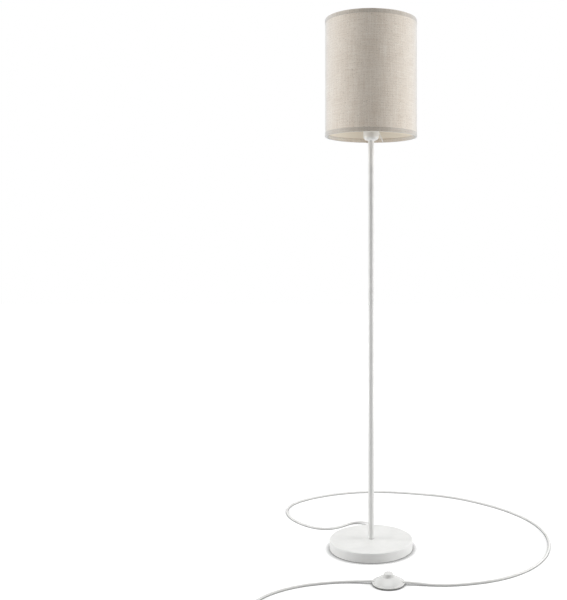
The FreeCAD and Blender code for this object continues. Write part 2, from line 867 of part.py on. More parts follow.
def switch_cover():
    """Domed cover with a lip at its foot and a collar round the button."""
    low = switch_plate_top + 0.2
    hollow_radius = ball_radius - dome_wall
    ball = Part.makeSphere(ball_radius, V(0, 0, ball_centre))
    shell = ball.fuse(cylinder(dome_radius + 0.2, low, low + 1.2))
    shell = shell.common(cylinder(switch_radius, low, low + 2 * dome_height))
    lip = turned([
        (dome_radius - 3.0, low, 0), (switch_radius, low, 0.5),
        (switch_radius, low + lip_height, 1.1), (dome_radius - 3.0, low + lip_height, 0),
    ])
    collar = tube(button_hole + 2.0, button_hole - 1, ball_centre + hollow_radius - 3.0,
                  dome_height_at(button_hole) + 0.9)
    shell = shell.fuse(lip).fuse(collar)
    hollow = Part.makeSphere(hollow_radius, V(0, 0, ball_centre))
    shell = shell.cut(hollow.common(cylinder(dome_radius - dome_wall, low - 1,
                                             ball_centre + hollow_radius + 1)))
    for x, y in case_screw_places():
        top = dome_height_at(case_screw_circle + case_boss_radius, dome_wall / 2)
        shell = shell.fuse(cylinder(case_boss_radius, switch_plate_top + 3.2, top, x, y))
    shell = shell.cut(cylinder(button_hole, low - 1, button_top))
    for x, y in case_screw_places():
        shell = shell.cut(cylinder(case_screw_radius - 0.2, low - 1, case_screw_end + 0.3, x, y))
    for way in cable_ways(low - 1, entry_height):
        shell = shell.cut(way)
    return placed(shell)


def foot_button():
    """Button with a hollow inside and a flange that the cover holds down."""
    flange = button_hole + 1.4
    inner = button_radius - button_wall
    roof = button_top - button_wall
    body = turned([
        (0, button_top, 0), (button_radius, button_top - 0.4, 1.3),
        (button_radius, button_flange_top, 0), (flange, button_flange_top, 0.3),
        (flange, button_flange_low, 0), (inner, button_flange_low, 0),
        (inner, roof, 0.8), (0, roof, 0),
    ])
    return placed(body)


def button_spring():
    """Coil spring in half turns, from the base plate up to the button's roof."""
    low = switch_plate_top + spring_wire_radius + 0.05
    high = button_top - button_wall - spring_wire_radius - 0.05
    rise = (high - low) / (2 * spring_turns)
    edges = []
    for k in range(2 * spring_turns):
        side = 1 if k % 2 == 0 else -1
        start = V(side * spring_radius, 0, low + rise * k)
        end = V(-side * spring_radius, 0, low + rise * (k + 1))
        middle = (start + end) * 0.5 + V(0, side * (end - start).Length / 2, 0)
        edges.append(arc_through(start, middle, end))
    return placed(swept(Part.Wire(edges), spring_wire_radius))


def contact_strip(side):
    """Bent brass strip with a terminal end, and a tongue that ends just under the pressed button."""
    thick = 0.5
    low = switch_plate_top + 0.1
    width = 5.0
    near = button_radius - button_wall + 0.6
    far = case_screw_circle - 5.0
    bend = (near + far) / 2
    tongue_top = button_flange_low - button_travel - button_clearance
    corners = [
        (near, low, 0), (far, low, 0), (far, low + 6.0, 0), (far - thick, low + 6.0, 0),
        (far - thick, low + thick, 0), (bend, low + thick, 0), (near + thick, tongue_top, 0),
        (near, tongue_top, 0), (bend - 2 * thick, low + thick, 0), (near, low + thick, 0),
    ]
    face = outline(corners, lambda a, b: V(-width / 2, side * a, b))
    return face.extrude(V(width, 0, 0))


def switch_contacts():
    return placed(Part.makeCompound([contact_strip(side) for side in (-1, 1)]))


def cord_clamps():
    """One bar over the cable at each side, seated on its two bosses."""
    bars = []
    reach = clamp_screw_offset + 2.6
    for side in (-1, 1):
        x = side * clamp_distance
        bar = block(x - 2.8, x + 2.8, -reach, reach, clamp_low, clamp_high)
        saddle = Part.makeCylinder(cable_radius + 0.1, 10, V(x - 5, 0, entry_height), V(1, 0, 0))
        bar = bar.cut(saddle)
        for across in (-clamp_screw_offset, clamp_screw_offset):
            bar = bar.cut(cylinder(1.4, clamp_low - 1, clamp_high + 1, x, across))
        bars.append(bar)
    return placed(Part.makeCompound(bars))


def screw(x, y, seat, head_radius, head_height, shank_radius, shank_length, upward):
    """Pan-head screw with a cross slot, its head on one side of the seat."""
    head = Part.makeCylinder(head_radius, head_height, V(x, y, seat), V(0, 0, -upward))
    shank = Part.makeCylinder(shank_radius, shank_length, V(x, y, seat), V(0, 0, upward))
    face = seat - upward * head_height
    low, high = sorted((face, face + upward * head_height * 0.5))
    reach = head_radius * 0.6
    slot = block(x - reach, x + reach, y - 0.3, y + 0.3, low - 0.1, high)
    cross = block(x - 0.3, x + 0.3, y - reach, y + reach, low - 0.1, high)
    return head.fuse(shank).cut(slot.fuse(cross))


def clamp_screws():
    length = clamp_high - switch_plate_top - 0.6
    screws = [screw(side * clamp_distance, across, clamp_high, 2.2, 1.3, 1.1, length, -1)
              for side in (-1, 1) for across in (-clamp_screw_offset, clamp_screw_offset)]
    return placed(Part.makeCompound(screws))


def case_screws():
    length = case_screw_end - case_screw_seat
    screws = [screw(x, y, case_screw_seat, 2.8, 1.6, case_screw_radius - 0.3, length, 1)
              for x, y in case_screw_places()]
    return placed(Part.makeCompound(screws))


# ---- plug, built along -X ----

plug_face_x = plug_back_x + plug_length
sleeve_low_radius = pin_neck_radius + 0.05
sleeve_radius = pin_radius - pin_sleeve_recess


def plug_body():
    """Flat moulded body, drawn in towards the cable, with a ribbed strain relief."""
    half = plug_width / 2
    waist = plug_width * 0.3
    corners = [
        (plug_face_x, -half + 1.5, 2.0), (plug_face_x, half - 1.5, 2.0),
        (plug_face_x - 8, half, 4.0), (plug_face_x - 20, half - 0.6, 8.0),
        (plug_back_x, waist, 4.0), (plug_back_x, -waist, 4.0),
        (plug_face_x - 20, -half + 0.6, 8.0), (plug_face_x - 8, -half, 4.0),
    ]
    low = plug_z - plug_thickness / 2
    face = outline(corners, lambda a, b: V(a, plug_y + b, low))
    body = face.extrude(V(0, 0, plug_thickness))
    flat_edges = [e for e in body.Edges
                  if abs(e.BoundBox.ZMax - e.BoundBox.ZMin) < 1e-6]
    body = body.makeFillet(2.2, flat_edges)
    relief = turned([
        (0, -2.0, 0), (4.8, -2.0, 0), (4.8, 2.0, 0.5), (3.4, plug_relief_length, 0.4),
        (0, plug_relief_length, 0),
    ])
    for k in range(5):
        low = 4.0 + 4.0 * k
        relief = relief.cut(tube(6.0, 3.0, low, low + 1.3))
    relief.rotate(V(0, 0, 0), V(0, 1, 0), -90)
    relief.translate(V(plug_back_x, plug_y, plug_z))
    body = body.fuse(relief)
    for side in (-1, 1):
        hole = Part.makeCylinder(sleeve_low_radius, pin_root + 1,
                                 V(plug_face_x + 1, plug_y + side * pin_spacing / 2, plug_z),
                                 V(-1, 0, 0))
        body = body.cut(hole)
    return body


def plug_pins():
    pins = []
    length = pin_sleeve_length + pin_tip_length
    for side in (-1, 1):
        pin = turned([
            (0, -pin_root, 0), (pin_neck_radius, -pin_root, 0),
            (pin_neck_radius, pin_sleeve_length + 0.1, 0), (pin_radius, pin_sleeve_length + 0.1, 0),
            (pin_radius, length, pin_radius - 0.4), (0, length, 0),
        ])
        pin.rotate(V(0, 0, 0), V(0, 1, 0), 90)
        pin.translate(V(plug_face_x, plug_y + side * pin_spacing / 2, plug_z))
        pins.append(pin)
    return Part.makeCompound(pins)


def pin_sleeves():
    sleeves = []
    for side in (-1, 1):
        sleeve = tube(sleeve_radius, sleeve_low_radius, 0.05, pin_sleeve_length)
        sleeve.rotate(V(0, 0, 0), V(0, 1, 0), 90)
        sleeve.translate(V(plug_face_x, plug_y + side * pin_spacing / 2, plug_z))
        sleeves.append(sleeve)
    return Part.makeCompound(sleeves)


# ---- coil of spare lead ----

def coil_wire():
    """Half turns that spiral in, climb where the spiral reverses, and spiral out on top."""
    step = coil_pitch / 2
    radii = [coil_radius - step * k for k in (0, 1, 2, 3, 2, 1)]
    climb = 3
    x = coil_x - coil_radius
    z = coil_height
    entry = V(x, coil_y, z)
    edges = [Part.LineSegment(entry + V(0, coil_run, 0), entry).toShape()]
    for k, radius in enumerate(radii):
        way = 1 if k % 2 == 0 else -1
        rise = coil_pitch if k == climb else 0.0
        start = V(x, coil_y, z)
        end = V(x + way * 2 * radius, coil_y, z + rise)
        bow = (end - start).Length / 2
        middle = (start + end) * 0.5 + V(0, -way * bow, 0)
        edges.append(arc_through(start, middle, end))
        x = end.x
        z = end.z
    diagonal = coil_radius * math.sin(math.pi / 4)
    centre = V(x + coil_radius, coil_y, z)
    leave = centre + V(0, -coil_radius, 0)
    edges.append(arc_through(V(x, coil_y, z), centre + V(-diagonal, -diagonal, 0), leave))
    edges.append(Part.LineSegment(leave, leave + V(coil_run, 0, 0)).toShape())
    return Part.Wire(edges)


def least_gap(path, radius):
    """Least distance between the tube's surfaces, from points a half turn or more apart."""
    count = 420
    points = path.discretize(Number=count)
    spacing = path.Length / (count - 1)
    apart = int(math.pi * (coil_radius - 2 * coil_pitch) * 0.9 / spacing)
    least = min((points[i] - points[j]).Length
                for i in range(count) for j in range(i + apart, count))
    return least - 2 * radius


def cord_coil():
    path = coil_wire()
    solid = swept(path, cable_radius)
    plain = math.pi * cable_radius ** 2 * path.Length
    print(f"cord_coil: length {path.Length:.0f}, volume ratio {solid.Volume / plain:.4f}, "
          f"least gap to itself {least_gap(path, cable_radius):.2f}")
    return solid


def cord_tie():
    """Flat strap round one side of the coil, with its free end laid over the top."""
    right = coil_x + coil_radius
    reach = cable_radius + tie_clearance
    x0 = right - coil_pitch - reach
    x1 = right + reach
    z0 = coil_height - cable_radius - 0.15
    z1 = coil_height + coil_pitch + reach
    wide = tie_thickness
    outer = [(x0 - wide, z0 - wide, 2.6), (x1 + wide, z0 - wide, 2.6),
             (x1 + wide, z1 + wide, 2.6), (x0 - wide, z1 + wide, 2.6)]
    inner = [(x0, z0, 1.8), (x1, z0, 1.8), (x1, z1, 1.8), (x0, z1, 1.8)]
    span = V(0, tie_width, 0)

    def place(a, b):
        return V(a, coil_y - tie_width / 2, b)

    band = outline(outer, place).extrude(span).cut(outline(inner, place).extrude(span))
    flap = block(x0 - 4, x1 - 2, coil_y - tie_width / 2, coil_y + tie_width / 2,
                 z1 + wide, z1 + wide + 0.7)
    return band.fuse(flap)


nodes = {
    "base_pad": base_pad,
    "base_cover": base_cover,
    "base_weight": base_weight,
    "base_washer": base_washer,
    "base_nut": lambda: threaded_nut(base_nut_low),
    "base_nipple": lambda: nipple(base_nipple_low, column_foot + nipple_reach),
    "base_strain_relief": base_strain_relief,
    "column_gasket": column_gasket,
    "column_lower": lambda: column_section(0),
    "column_middle": lambda: column_section(1),
    "column_upper": lambda: column_section(2),
    "column_bushes": column_bushes,
    "joint_nipples": joint_nipples,
    "cup_nipple": lambda: nipple(column_top - nipple_reach, neck_top),
    "holder_cup": holder_cup,
    "cup_washer": cup_washer,
    "cup_nut": lambda: threaded_nut(cup_nut_low),
    "holder_cap": holder_cap,
    "holder_core": holder_core,
    "holder_shell": holder_shell,
    "terminal_screws": terminal_screws,
    "holder_cores": holder_cores,
    "thread_shell": thread_shell,
    "centre_contact": centre_contact,
    "shade_ring": shade_ring,
    "lamp_tip": lamp_tip,
    "lamp_insulator": lamp_insulator,
    "lamp_cap": lamp_cap,
    "lamp_housing": lamp_housing,
    "lamp_board": lamp_board,
    "lamp_globe": lamp_globe,
    "shade_cloth": shade_cloth,
    "shade_film": shade_film,
    "shade_top_ring": shade_top_ring,
    "shade_bottom_ring": shade_bottom_ring,
    "shade_carrier": shade_carrier,
    "inner_cable": inner_cable,
    "lead_cord": lambda: cord("lead_cord", lead_route),
    "switch_pad": switch_pad,
    "switch_base": switch_base,
    "switch_cover": switch_cover,
    "foot_button": foot_button,
    "button_spring": button_spring,
    "switch_contacts": switch_contacts,
    "cord_clamps": cord_clamps,
    "clamp_screws": clamp_screws,
    "case_screws": case_screws,
    "tail_cord": lambda: cord("tail_cord", tail_route),
    "cord_coil": cord_coil,
    "cord_tie": cord_tie,
    "plug_cord": lambda: cord("plug_cord", plug_route),
    "plug_body": plug_body,
    "plug_pins": plug_pins,
    "pin_sleeves": pin_sleeves,
}

os.makedirs("parts", exist_ok=True)
for node, make in nodes.items():
    shape = make()
    if not shape.isValid():
        print(node, "is not valid")
    shape.exportStep(f"parts/{node}.step")
print(len(nodes), "nodes, lamp", round(shade_top, 1), "high")
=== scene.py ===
import json
import math

import bpy
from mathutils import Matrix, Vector, noise


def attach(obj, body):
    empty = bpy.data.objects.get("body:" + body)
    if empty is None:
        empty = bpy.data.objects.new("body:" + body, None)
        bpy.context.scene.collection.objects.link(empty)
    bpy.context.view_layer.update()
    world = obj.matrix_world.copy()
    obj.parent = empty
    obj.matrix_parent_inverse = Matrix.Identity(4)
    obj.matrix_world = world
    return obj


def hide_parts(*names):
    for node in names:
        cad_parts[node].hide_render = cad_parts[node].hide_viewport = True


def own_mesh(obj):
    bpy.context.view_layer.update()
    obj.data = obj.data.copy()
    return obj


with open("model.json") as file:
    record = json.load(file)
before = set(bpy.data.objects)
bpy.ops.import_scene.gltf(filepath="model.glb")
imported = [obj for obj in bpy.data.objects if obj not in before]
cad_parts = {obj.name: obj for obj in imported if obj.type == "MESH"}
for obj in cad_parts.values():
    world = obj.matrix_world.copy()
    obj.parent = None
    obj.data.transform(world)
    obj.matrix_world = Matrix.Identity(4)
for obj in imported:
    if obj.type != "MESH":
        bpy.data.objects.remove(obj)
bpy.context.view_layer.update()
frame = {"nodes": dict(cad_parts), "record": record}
cadNodes = frame["nodes"]
mm = 0.001
print("frame loaded,", len(cadNodes), "parts")


def linear(hexCode):
    # sRGB hex to the linear colour that the shaders take
    channels = [int(hexCode[k:k + 2], 16) / 255 for k in (1, 3, 5)]
    return [c / 12.92 if c <= 0.04045 else ((c + 0.055) / 1.055) ** 2.4 for c in channels] + [1]


def addNode(tree, kind, values=None, links=None, **settings):
    # one node with its settings, its unlinked values and its links
    node = tree.nodes.new(kind)
    for name, value in settings.items():
        setattr(node, name, value)
    for key, value in (values or {}).items():
        node.inputs[key].default_value = value
    for key, source in (links or {}).items():
        tree.links.new(source, node.inputs[key])
    return node


def startFinish(name, **values):
    # material with one shader, its values given by socket name with underscores
    material = bpy.data.materials.new(name)
    material.use_nodes = True
    tree = material.node_tree
    tree.nodes.clear()
    named = {key.replace("_", " "): value for key, value in values.items()}
    shader = addNode(tree, "ShaderNodeBsdfPrincipled", named)
    addNode(tree, "ShaderNodeOutputMaterial", links={"Surface": shader.outputs[0]})
    return material, tree, shader


def madeFinish(name, look, **values):
    # finish whose colour and gloss drift in patches, with a fine relief; sizes in mm
    material, tree, shader = startFinish(name, **values)
    place = addNode(tree, "ShaderNodeTexCoord").outputs["Object"]
    stretch = look.get("stretch", (1, 1, 1))
    fields = []
    for size in (look["patch"], look["grain"]):
        scale = [1000 / (size * s) for s in stretch]
        scaled = addNode(tree, "ShaderNodeVectorMath", {1: scale}, {0: place}, operation="MULTIPLY")
        field = addNode(tree, "ShaderNodeTexNoise", {"Scale": 1.0, "Detail": 2.0},
                        {"Vector": scaled.outputs[0]})
        fields.append(field.outputs["Fac"])
    patch, fine = fields
    share = addNode(tree, "ShaderNodeMapRange", {"From Min": 0.32, "From Max": 0.68},
                    {"Value": patch})
    colour = addNode(tree, "ShaderNodeMix", {"A": linear(look["dark"]), "B": linear(look["light"])},
                     {"Factor": share.outputs[0]}, data_type="RGBA")
    tree.links.new(colour.outputs["Result"], shader.inputs["Base Color"])
    smooth, rough = look["gloss"]
    gloss = addNode(tree, "ShaderNodeMapRange",
                    {"From Min": 0.3, "From Max": 0.7, "To Min": smooth, "To Max": rough},
                    {"Value": patch})
    tree.links.new(gloss.outputs[0], shader.inputs["Roughness"])
    relief = addNode(tree, "ShaderNodeBump", {"Distance": look["relief"] * mm}, {"Height": fine})
    tree.links.new(relief.outputs[0], shader.inputs["Normal"])
    return material


# powder coat on steel: melted powder leaves a fine orange peel, which spreads the highlight softly
powderCoat = madeFinish("whitePowderCoat", {
    "dark": "#e6e6e4", "light": "#eeeeec", "patch": 40, "grain": 1.3, "relief": 0.02,
    "gloss": (0.34, 0.46)})
# cast concrete: grey, dull, with sandy grain and cloudy lighter patches
castConcrete = madeFinish("castConcrete", {
    "dark": "#8b8985", "light": "#a6a39d", "patch": 9, "grain": 0.8, "relief": 0.25,
    "gloss": (0.85, 0.95)})
# closed-cell foam rubber: near black and quite dull, with the open faces of cut cells
foamRubber = madeFinish("blackFoamRubber", {
    "dark": "#1d1d1e", "light": "#29292a", "patch": 5, "grain": 0.5, "relief": 0.15,
    "gloss": (0.8, 0.92)})
# zinc plate on turned steel: bright, slightly blue metal with faint turning lines round the axis
zincPlate = madeFinish("zincPlate", {
    "dark": "#a9abad", "light": "#c3c4c4", "patch": 6, "grain": 0.25, "relief": 0.01,
    "stretch": (4, 4, 0.6), "gloss": (0.24, 0.38)}, Metallic=1.0)
# extruded soft PVC: smooth satin skin with slow thickness waves from the extruder
softPvc = madeFinish("softPvc", {
    "dark": "#e6e6e4", "light": "#ededeb", "patch": 30, "grain": 6, "relief": 0.05,
    "gloss": (0.38, 0.5)})
# injection-moulded ABS from a polished tool: even, fairly glossy
mouldedAbs = madeFinish("mouldedAbs", {
    "dark": "#dededc", "light": "#e3e3e1", "patch": 45, "grain": 0.9, "relief": 0.004,
    "gloss": (0.22, 0.27)})
# moulded PBT from a spark-eroded tool: matt, with a fine even grain
mattPbt = madeFinish("mattPbt", {
    "dark": "#e0dfda", "light": "#e8e7e2", "patch": 14, "grain": 0.35, "relief": 0.02,
    "gloss": (0.5, 0.6)})
# pressed steatite: creamy unglazed ceramic with a sugary grain
steatite = madeFinish("steatite", {
    "dark": "#ddd5c2", "light": "#ece6d8", "patch": 4, "grain": 0.3, "relief": 0.03,
    "gloss": (0.45, 0.6)})
# stamped brass strip: yellow metal with faint rolling lines and slightly duller patches
stampedBrass = madeFinish("stampedBrass", {
    "dark": "#c79f55", "light": "#dcb76c", "patch": 5, "grain": 0.3, "relief": 0.008,
    "stretch": (1, 6, 1), "gloss": (0.22, 0.36)}, Metallic=1.0)
# nickel plate on brass: warm grey mirror-like metal, slightly clouded
nickelPlate = madeFinish("nickelPlate", {
    "dark": "#bdb9b0", "light": "#cfccc4", "patch": 5, "grain": 0.4, "relief": 0.005,
    "gloss": (0.16, 0.28)}, Metallic=1.0)
# fired black glass that insulates the lamp's tip: deep black, glossy, with small ripples
blackGlass = madeFinish("blackGlass", {
    "dark": "#0c0c0f", "light": "#16161a", "patch": 3, "grain": 1.2, "relief": 0.02,
    "gloss": (0.08, 0.16)}, IOR=1.52)
# opal polycarbonate of the lamp's globe: milky white that light would fill evenly
opalGlobe = madeFinish("opalPolycarbonate", {
    "dark": "#f0eee8", "light": "#f5f4ef", "patch": 25, "grain": 0.8, "relief": 0.006,
    "gloss": (0.3, 0.38)}, IOR=1.58)
# white solder mask over an aluminium board: satin lacquer that follows the metal under it
coatedBoard = madeFinish("coatedBoard", {
    "dark": "#e3e4e2", "light": "#eef0ee", "patch": 6, "grain": 0.5, "relief": 0.008,
    "gloss": (0.3, 0.4)})
# epoxy-dipped steel wire: white coat, a little thicker and thinner along the wire
coatedWire = madeFinish("coatedWire", {
    "dark": "#e2e1dc", "light": "#ebeae6", "patch": 12, "grain": 2.2, "relief": 0.04,
    "gloss": (0.32, 0.44)})
# nylon sleeves on the plug's pins: grey, satin
greySleeve = madeFinish("greyNylonSleeve", {
    "dark": "#8d8e8d", "light": "#999a98", "patch": 5, "grain": 0.4, "relief": 0.01,
    "gloss": (0.4, 0.5)})
# PVC-coated steel strap round the coil: soft satin white with bend marks
tieStrap = madeFinish("tieStrap", {
    "dark": "#d9d9d6", "light": "#e4e4e1", "patch": 4, "grain": 1.0, "relief": 0.03,
    "gloss": (0.4, 0.55)})
print("plain finishes made")


def coreFinish():
    # PVC round the two wires: brown on the live side of the holder and blue on the other
    material, tree, shader = startFinish("coreInsulation", Roughness=0.42)
    place = addNode(tree, "ShaderNodeTexCoord").outputs["Object"]
    side = addNode(tree, "ShaderNodeSeparateXYZ", links={0: place}).outputs["X"]
    live = addNode(tree, "ShaderNodeMath", {1: 0.0}, {0: side}, operation="GREATER_THAN")
    colour = addNode(tree, "ShaderNodeMix", {"A": linear("#5b3a22"), "B": linear("#2f6fae")},
                     {"Factor": live.outputs[0]}, data_type="RGBA")
    tree.links.new(colour.outputs["Result"], shader.inputs["Base Color"])
    return material


# Linen-type weave glued to a film: matt, with threads of uneven tone in both directions, short dark
# thick places in single threads, and a slow drift. Patterns are (across, up) in mm; the groups are
# runs of some three threads, which is as fine as the whole lamp's view can show.
linen = {
    "threads": {"warp": (1.0, 45, 0.7), "weft": (55, 1.0, 0.7), "warpGroup": (2.9, 80, 0.75),
                "weftGroup": (45, 2.9, 0.75), "mottle": (26, 34, 0.35)},    # with their strength
    "flecks": {"weftFleck": (6.5, 1.0), "warpFleck": (0.9, 4.5)},
    "fleckRange": (0.62, 0.74), "fleckStrength": 0.8, "fleckHeight": 0.8,
    "ridgePitch": 6.2832, "relief": 0.16,    # ridges stand for runs of some six threads
    "dark": "#dccbb7", "light": "#faf1e4", "fleck": "#8b7961",
}


def linenFinish(name, shade=1.0):
    # shade is a painted shade: it darkens the cloth's colour where the cloth lies doubled over the
    # wire, standing in for the dimmer light through the doubled cloth
    material, tree, shader = startFinish(name, Roughness=0.86, Sheen_Weight=1.0,
                                         Sheen_Roughness=0.6, Specular_IOR_Level=0.3,
                                         Sheen_Tint=linear("#dfe9f2"))
    dark, light, fleck = ([c * shade for c in linear(linen[key])[:3]] + [1]
                          for key in ("dark", "light", "fleck"))
    uv = addNode(tree, "ShaderNodeUVMap", uv_map="UVMap").outputs[0]
    fields = {}
    for key, size in {**linen["threads"], **linen["flecks"]}.items():
        scaled = addNode(tree, "ShaderNodeVectorMath", {1: (1000 / size[0], 1000 / size[1], 1)},
                         {0: uv}, operation="MULTIPLY")
        field = addNode(tree, "ShaderNodeTexNoise",
                        {"Scale": 1.0, "Detail": 1.5, "Roughness": 0.5},
                        {"Vector": scaled.outputs[0]})
        fields[key] = field.outputs["Fac"]
    strengths = {key: size[2] for key, size in linen["threads"].items()}
    tone = None
    start = 0.5 - 0.5 * sum(strengths.values())     # so that the mean tone is half way
    for key, strength in strengths.items():
        tone = addNode(tree, "ShaderNodeMath", {1: strength, 2: start},
                       {0: fields[key], **({2: tone.outputs[0]} if tone else {})},
                       operation="MULTIPLY_ADD")
    cloth = addNode(tree, "ShaderNodeMix", {"A": dark, "B": light}, {"Factor": tone.outputs[0]},
                    data_type="RGBA")
    knots = addNode(tree, "ShaderNodeMath", links={0: fields["warpFleck"], 1: fields["weftFleck"]},
                    operation="MAXIMUM")
    thin, full = linen["fleckRange"]
    thick = addNode(tree, "ShaderNodeMapRange",
                    {"From Min": thin, "From Max": full, "To Max": linen["fleckStrength"]},
                    {"Value": knots.outputs[0]})
    marked = addNode(tree, "ShaderNodeMix", {"B": fleck},
                     {"Factor": thick.outputs[0], "A": cloth.outputs["Result"]}, data_type="RGBA")
    tree.links.new(marked.outputs["Result"], shader.inputs["Base Color"])
    # two crossed rows of ridges for the relief, as coarse as the whole lamp's view needs
    waveUnit = 20       # the wave texture counts 20 radians to its unit
    ridges = []
    for direction in ("X", "Y"):
        ridge = addNode(tree, "ShaderNodeTexWave",
                        {"Scale": 2000 * math.pi / linen["ridgePitch"] / waveUnit,
                         "Distortion": 1.2, "Detail": 1.0, "Detail Scale": 0.6}, {"Vector": uv},
                        wave_type="BANDS", bands_direction=direction, wave_profile="SIN")
        ridges.append(ridge.outputs["Fac"])
    weave = addNode(tree, "ShaderNodeMath", links={0: ridges[0], 1: ridges[1]},
                    operation="MULTIPLY")
    height = addNode(tree, "ShaderNodeMath", {1: linen["fleckHeight"]},
                     {0: knots.outputs[0], 2: weave.outputs[0]}, operation="MULTIPLY_ADD")
    relief = addNode(tree, "ShaderNodeBump", {"Distance": linen["relief"] * mm},
                     {"Height": height.outputs[0]})
    tree.links.new(relief.outputs[0], shader.inputs["Normal"])
    return material


linenCloth = linenFinish("linenWeave")
# the hems' linen takes a painted shade of 0.76, for the doubled cloth that lets less light through
hemLinenPaintedShade = linenFinish("linenHemPaintedShade", 0.76)
# styrene film under the cloth: smooth, pale and satin, with slow ripples from rolling
shadeLining = madeFinish("styreneLining", {
    "dark": "#e7dfd1", "light": "#ece5d8", "patch": 35, "grain": 9, "relief": 0.06,
    "gloss": (0.5, 0.62)})
print("linen and lining made")

finishes = {
    "white_powder_coat": powderCoat, "cast_concrete": castConcrete,
    "black_foam_rubber": foamRubber, "zinc_plated_steel": zincPlate, "white_pvc": softPvc,
    "white_moulded_plastic": mouldedAbs, "white_matt_plastic": mattPbt, "steatite": steatite,
    "brass": stampedBrass, "nickel_plated_brass": nickelPlate, "black_glass": blackGlass,
    "opal_plastic": opalGlobe, "aluminium_board": coatedBoard, "linen_cloth": hemLinenPaintedShade,
    "shade_lining": shadeLining, "white_coated_wire": coatedWire,
    "core_insulation": coreFinish(), "grey_pin_sleeve": greySleeve, "tie_strap": tieStrap,
}
for subpart in frame["record"]["subparts"]:
    part = cadNodes[subpart["node"]]
    for slot in part.material_slots:
        slot.material = finishes[subpart["material_slot"]]
print("finishes given to the packed parts")


# camera, at the photograph's place
view = {"place": (0, -2.2636, 0.826), "lens": 49.98, "shift": (-0.146, -0.0935)}
cameraData = bpy.data.cameras.new("viewCamera")
cameraData.lens = view["lens"]
cameraData.sensor_width = 36
cameraData.shift_x, cameraData.shift_y = view["shift"]
camera = bpy.data.objects.new("viewCamera", cameraData)
camera.location = view["place"]
camera.rotation_euler = (math.pi / 2, 0, 0)
bpy.context.collection.objects.link(camera)
bpy.context.scene.camera = camera
print("camera placed")


def meshOf(piece):
    # the piece's shape with its modifiers, as a plain mesh
    shaped = piece.evaluated_get(bpy.context.evaluated_depsgraph_get())
    return bpy.data.meshes.new_from_object(shaped)


# cords
cableRadius = 0.0027
wireDetail = {"sides": 6, "steps": 10}      # round the wire, and between two points of its route


def layWire(name, route, radius, finish):
    # one soft spline through the route, as thick as the wire
    curve = bpy.data.curves.new(name, "CURVE")
    curve.dimensions = "3D"
    spline = curve.splines.new("NURBS")
    spline.points.add(len(route) - 1)
    for point, place in zip(spline.points, route):
        point.co = (*place, 1)
    spline.order_u = 3
    spline.use_endpoint_u = True
    spline.resolution_u = wireDetail["steps"]
    curve.resolution_u = wireDetail["steps"]
    curve.bevel_depth = radius
    curve.bevel_resolution = wireDetail["sides"]
    curve.use_fill_caps = True
    curve.materials.append(finish)
    wire = bpy.data.objects.new(name, curve)
    bpy.context.collection.objects.link(wire)
    return wire


leadRoute = [
    (0, 0.124, 0.010), (0, 0.151, 0.010), (-0.006, 0.176, 0.0086), (-0.022, 0.194, 0.0062),
    (-0.044, 0.199, 0.0042), (-0.064, 0.189, 0.003), (-0.082, 0.170, 0.0028),
    (-0.102, 0.152, 0.0028), (-0.127, 0.143, 0.0028), (-0.153, 0.148, 0.0028),
    (-0.180, 0.164, 0.0028), (-0.207, 0.190, 0.0028), (-0.234, 0.225, 0.0028),
    (-0.253, 0.268, 0.0028), (-0.262, 0.316, 0.0028), (-0.253, 0.364, 0.0028),
    (-0.225, 0.405, 0.0028), (-0.180, 0.443, 0.0028), (-0.125, 0.474, 0.0028),
    (-0.062, 0.496, 0.0028), (0.010, 0.505, 0.0028), (0.080, 0.499, 0.0028),
    (0.150, 0.483, 0.0028), (0.222, 0.462, 0.0028), (0.287, 0.430, 0.0028),
    (0.349, 0.382, 0.0028), (0.405, 0.325, 0.0028), (0.449, 0.262, 0.0028),
    (0.480, 0.193, 0.0028), (0.495, 0.122, 0.0028), (0.494, 0.050, 0.0028),
    (0.480, -0.021, 0.0028), (0.452, -0.087, 0.0028), (0.411, -0.147, 0.0028),
    (0.357, -0.196, 0.0028), (0.293, -0.231, 0.0028), (0.226, -0.249, 0.0028),
    (0.180, -0.2545, 0.0028), (0.144, -0.252, 0.0029), (0.1137, -0.2473, 0.0044),
    (0.0838, -0.2447, 0.006), (0.055, -0.2421, 0.006),
]
tailRoute = [
    (0.029, -0.2399, 0.006), (0.0002, -0.2373, 0.006), (-0.0277, -0.2349, 0.0044),
    (-0.060, -0.233, 0.0029), (-0.098, -0.237, 0.0028), (-0.137, -0.2465, 0.0028),
    (-0.172, -0.258, 0.0028), (-0.203, -0.275, 0.0028), (-0.229, -0.295, 0.0028),
    (-0.251, -0.318, 0.0028), (-0.267, -0.346, 0.003), (-0.277, -0.376, 0.0037),
    (-0.277, -0.400, 0.0037),
]
plugRoute = [
    (-0.2331, -0.438, 0.0096), (-0.220, -0.438, 0.0096), (-0.203, -0.440, 0.0078),
    (-0.185, -0.443, 0.0064), (-0.168, -0.445, 0.007), (-0.154, -0.445, 0.007),
]
# the spare lead: loops that spiral in on the floor and out again on top, given as half turns
coil = {"y": -0.406, "start": -0.277, "low": 0.0037, "high": 0.0096, "points": 7,
        "halfTurns": (0.032, 0.02905, 0.0261, 0.02315, 0.0261, 0.02905), "climb": 3,
        "lastRadius": 0.032}


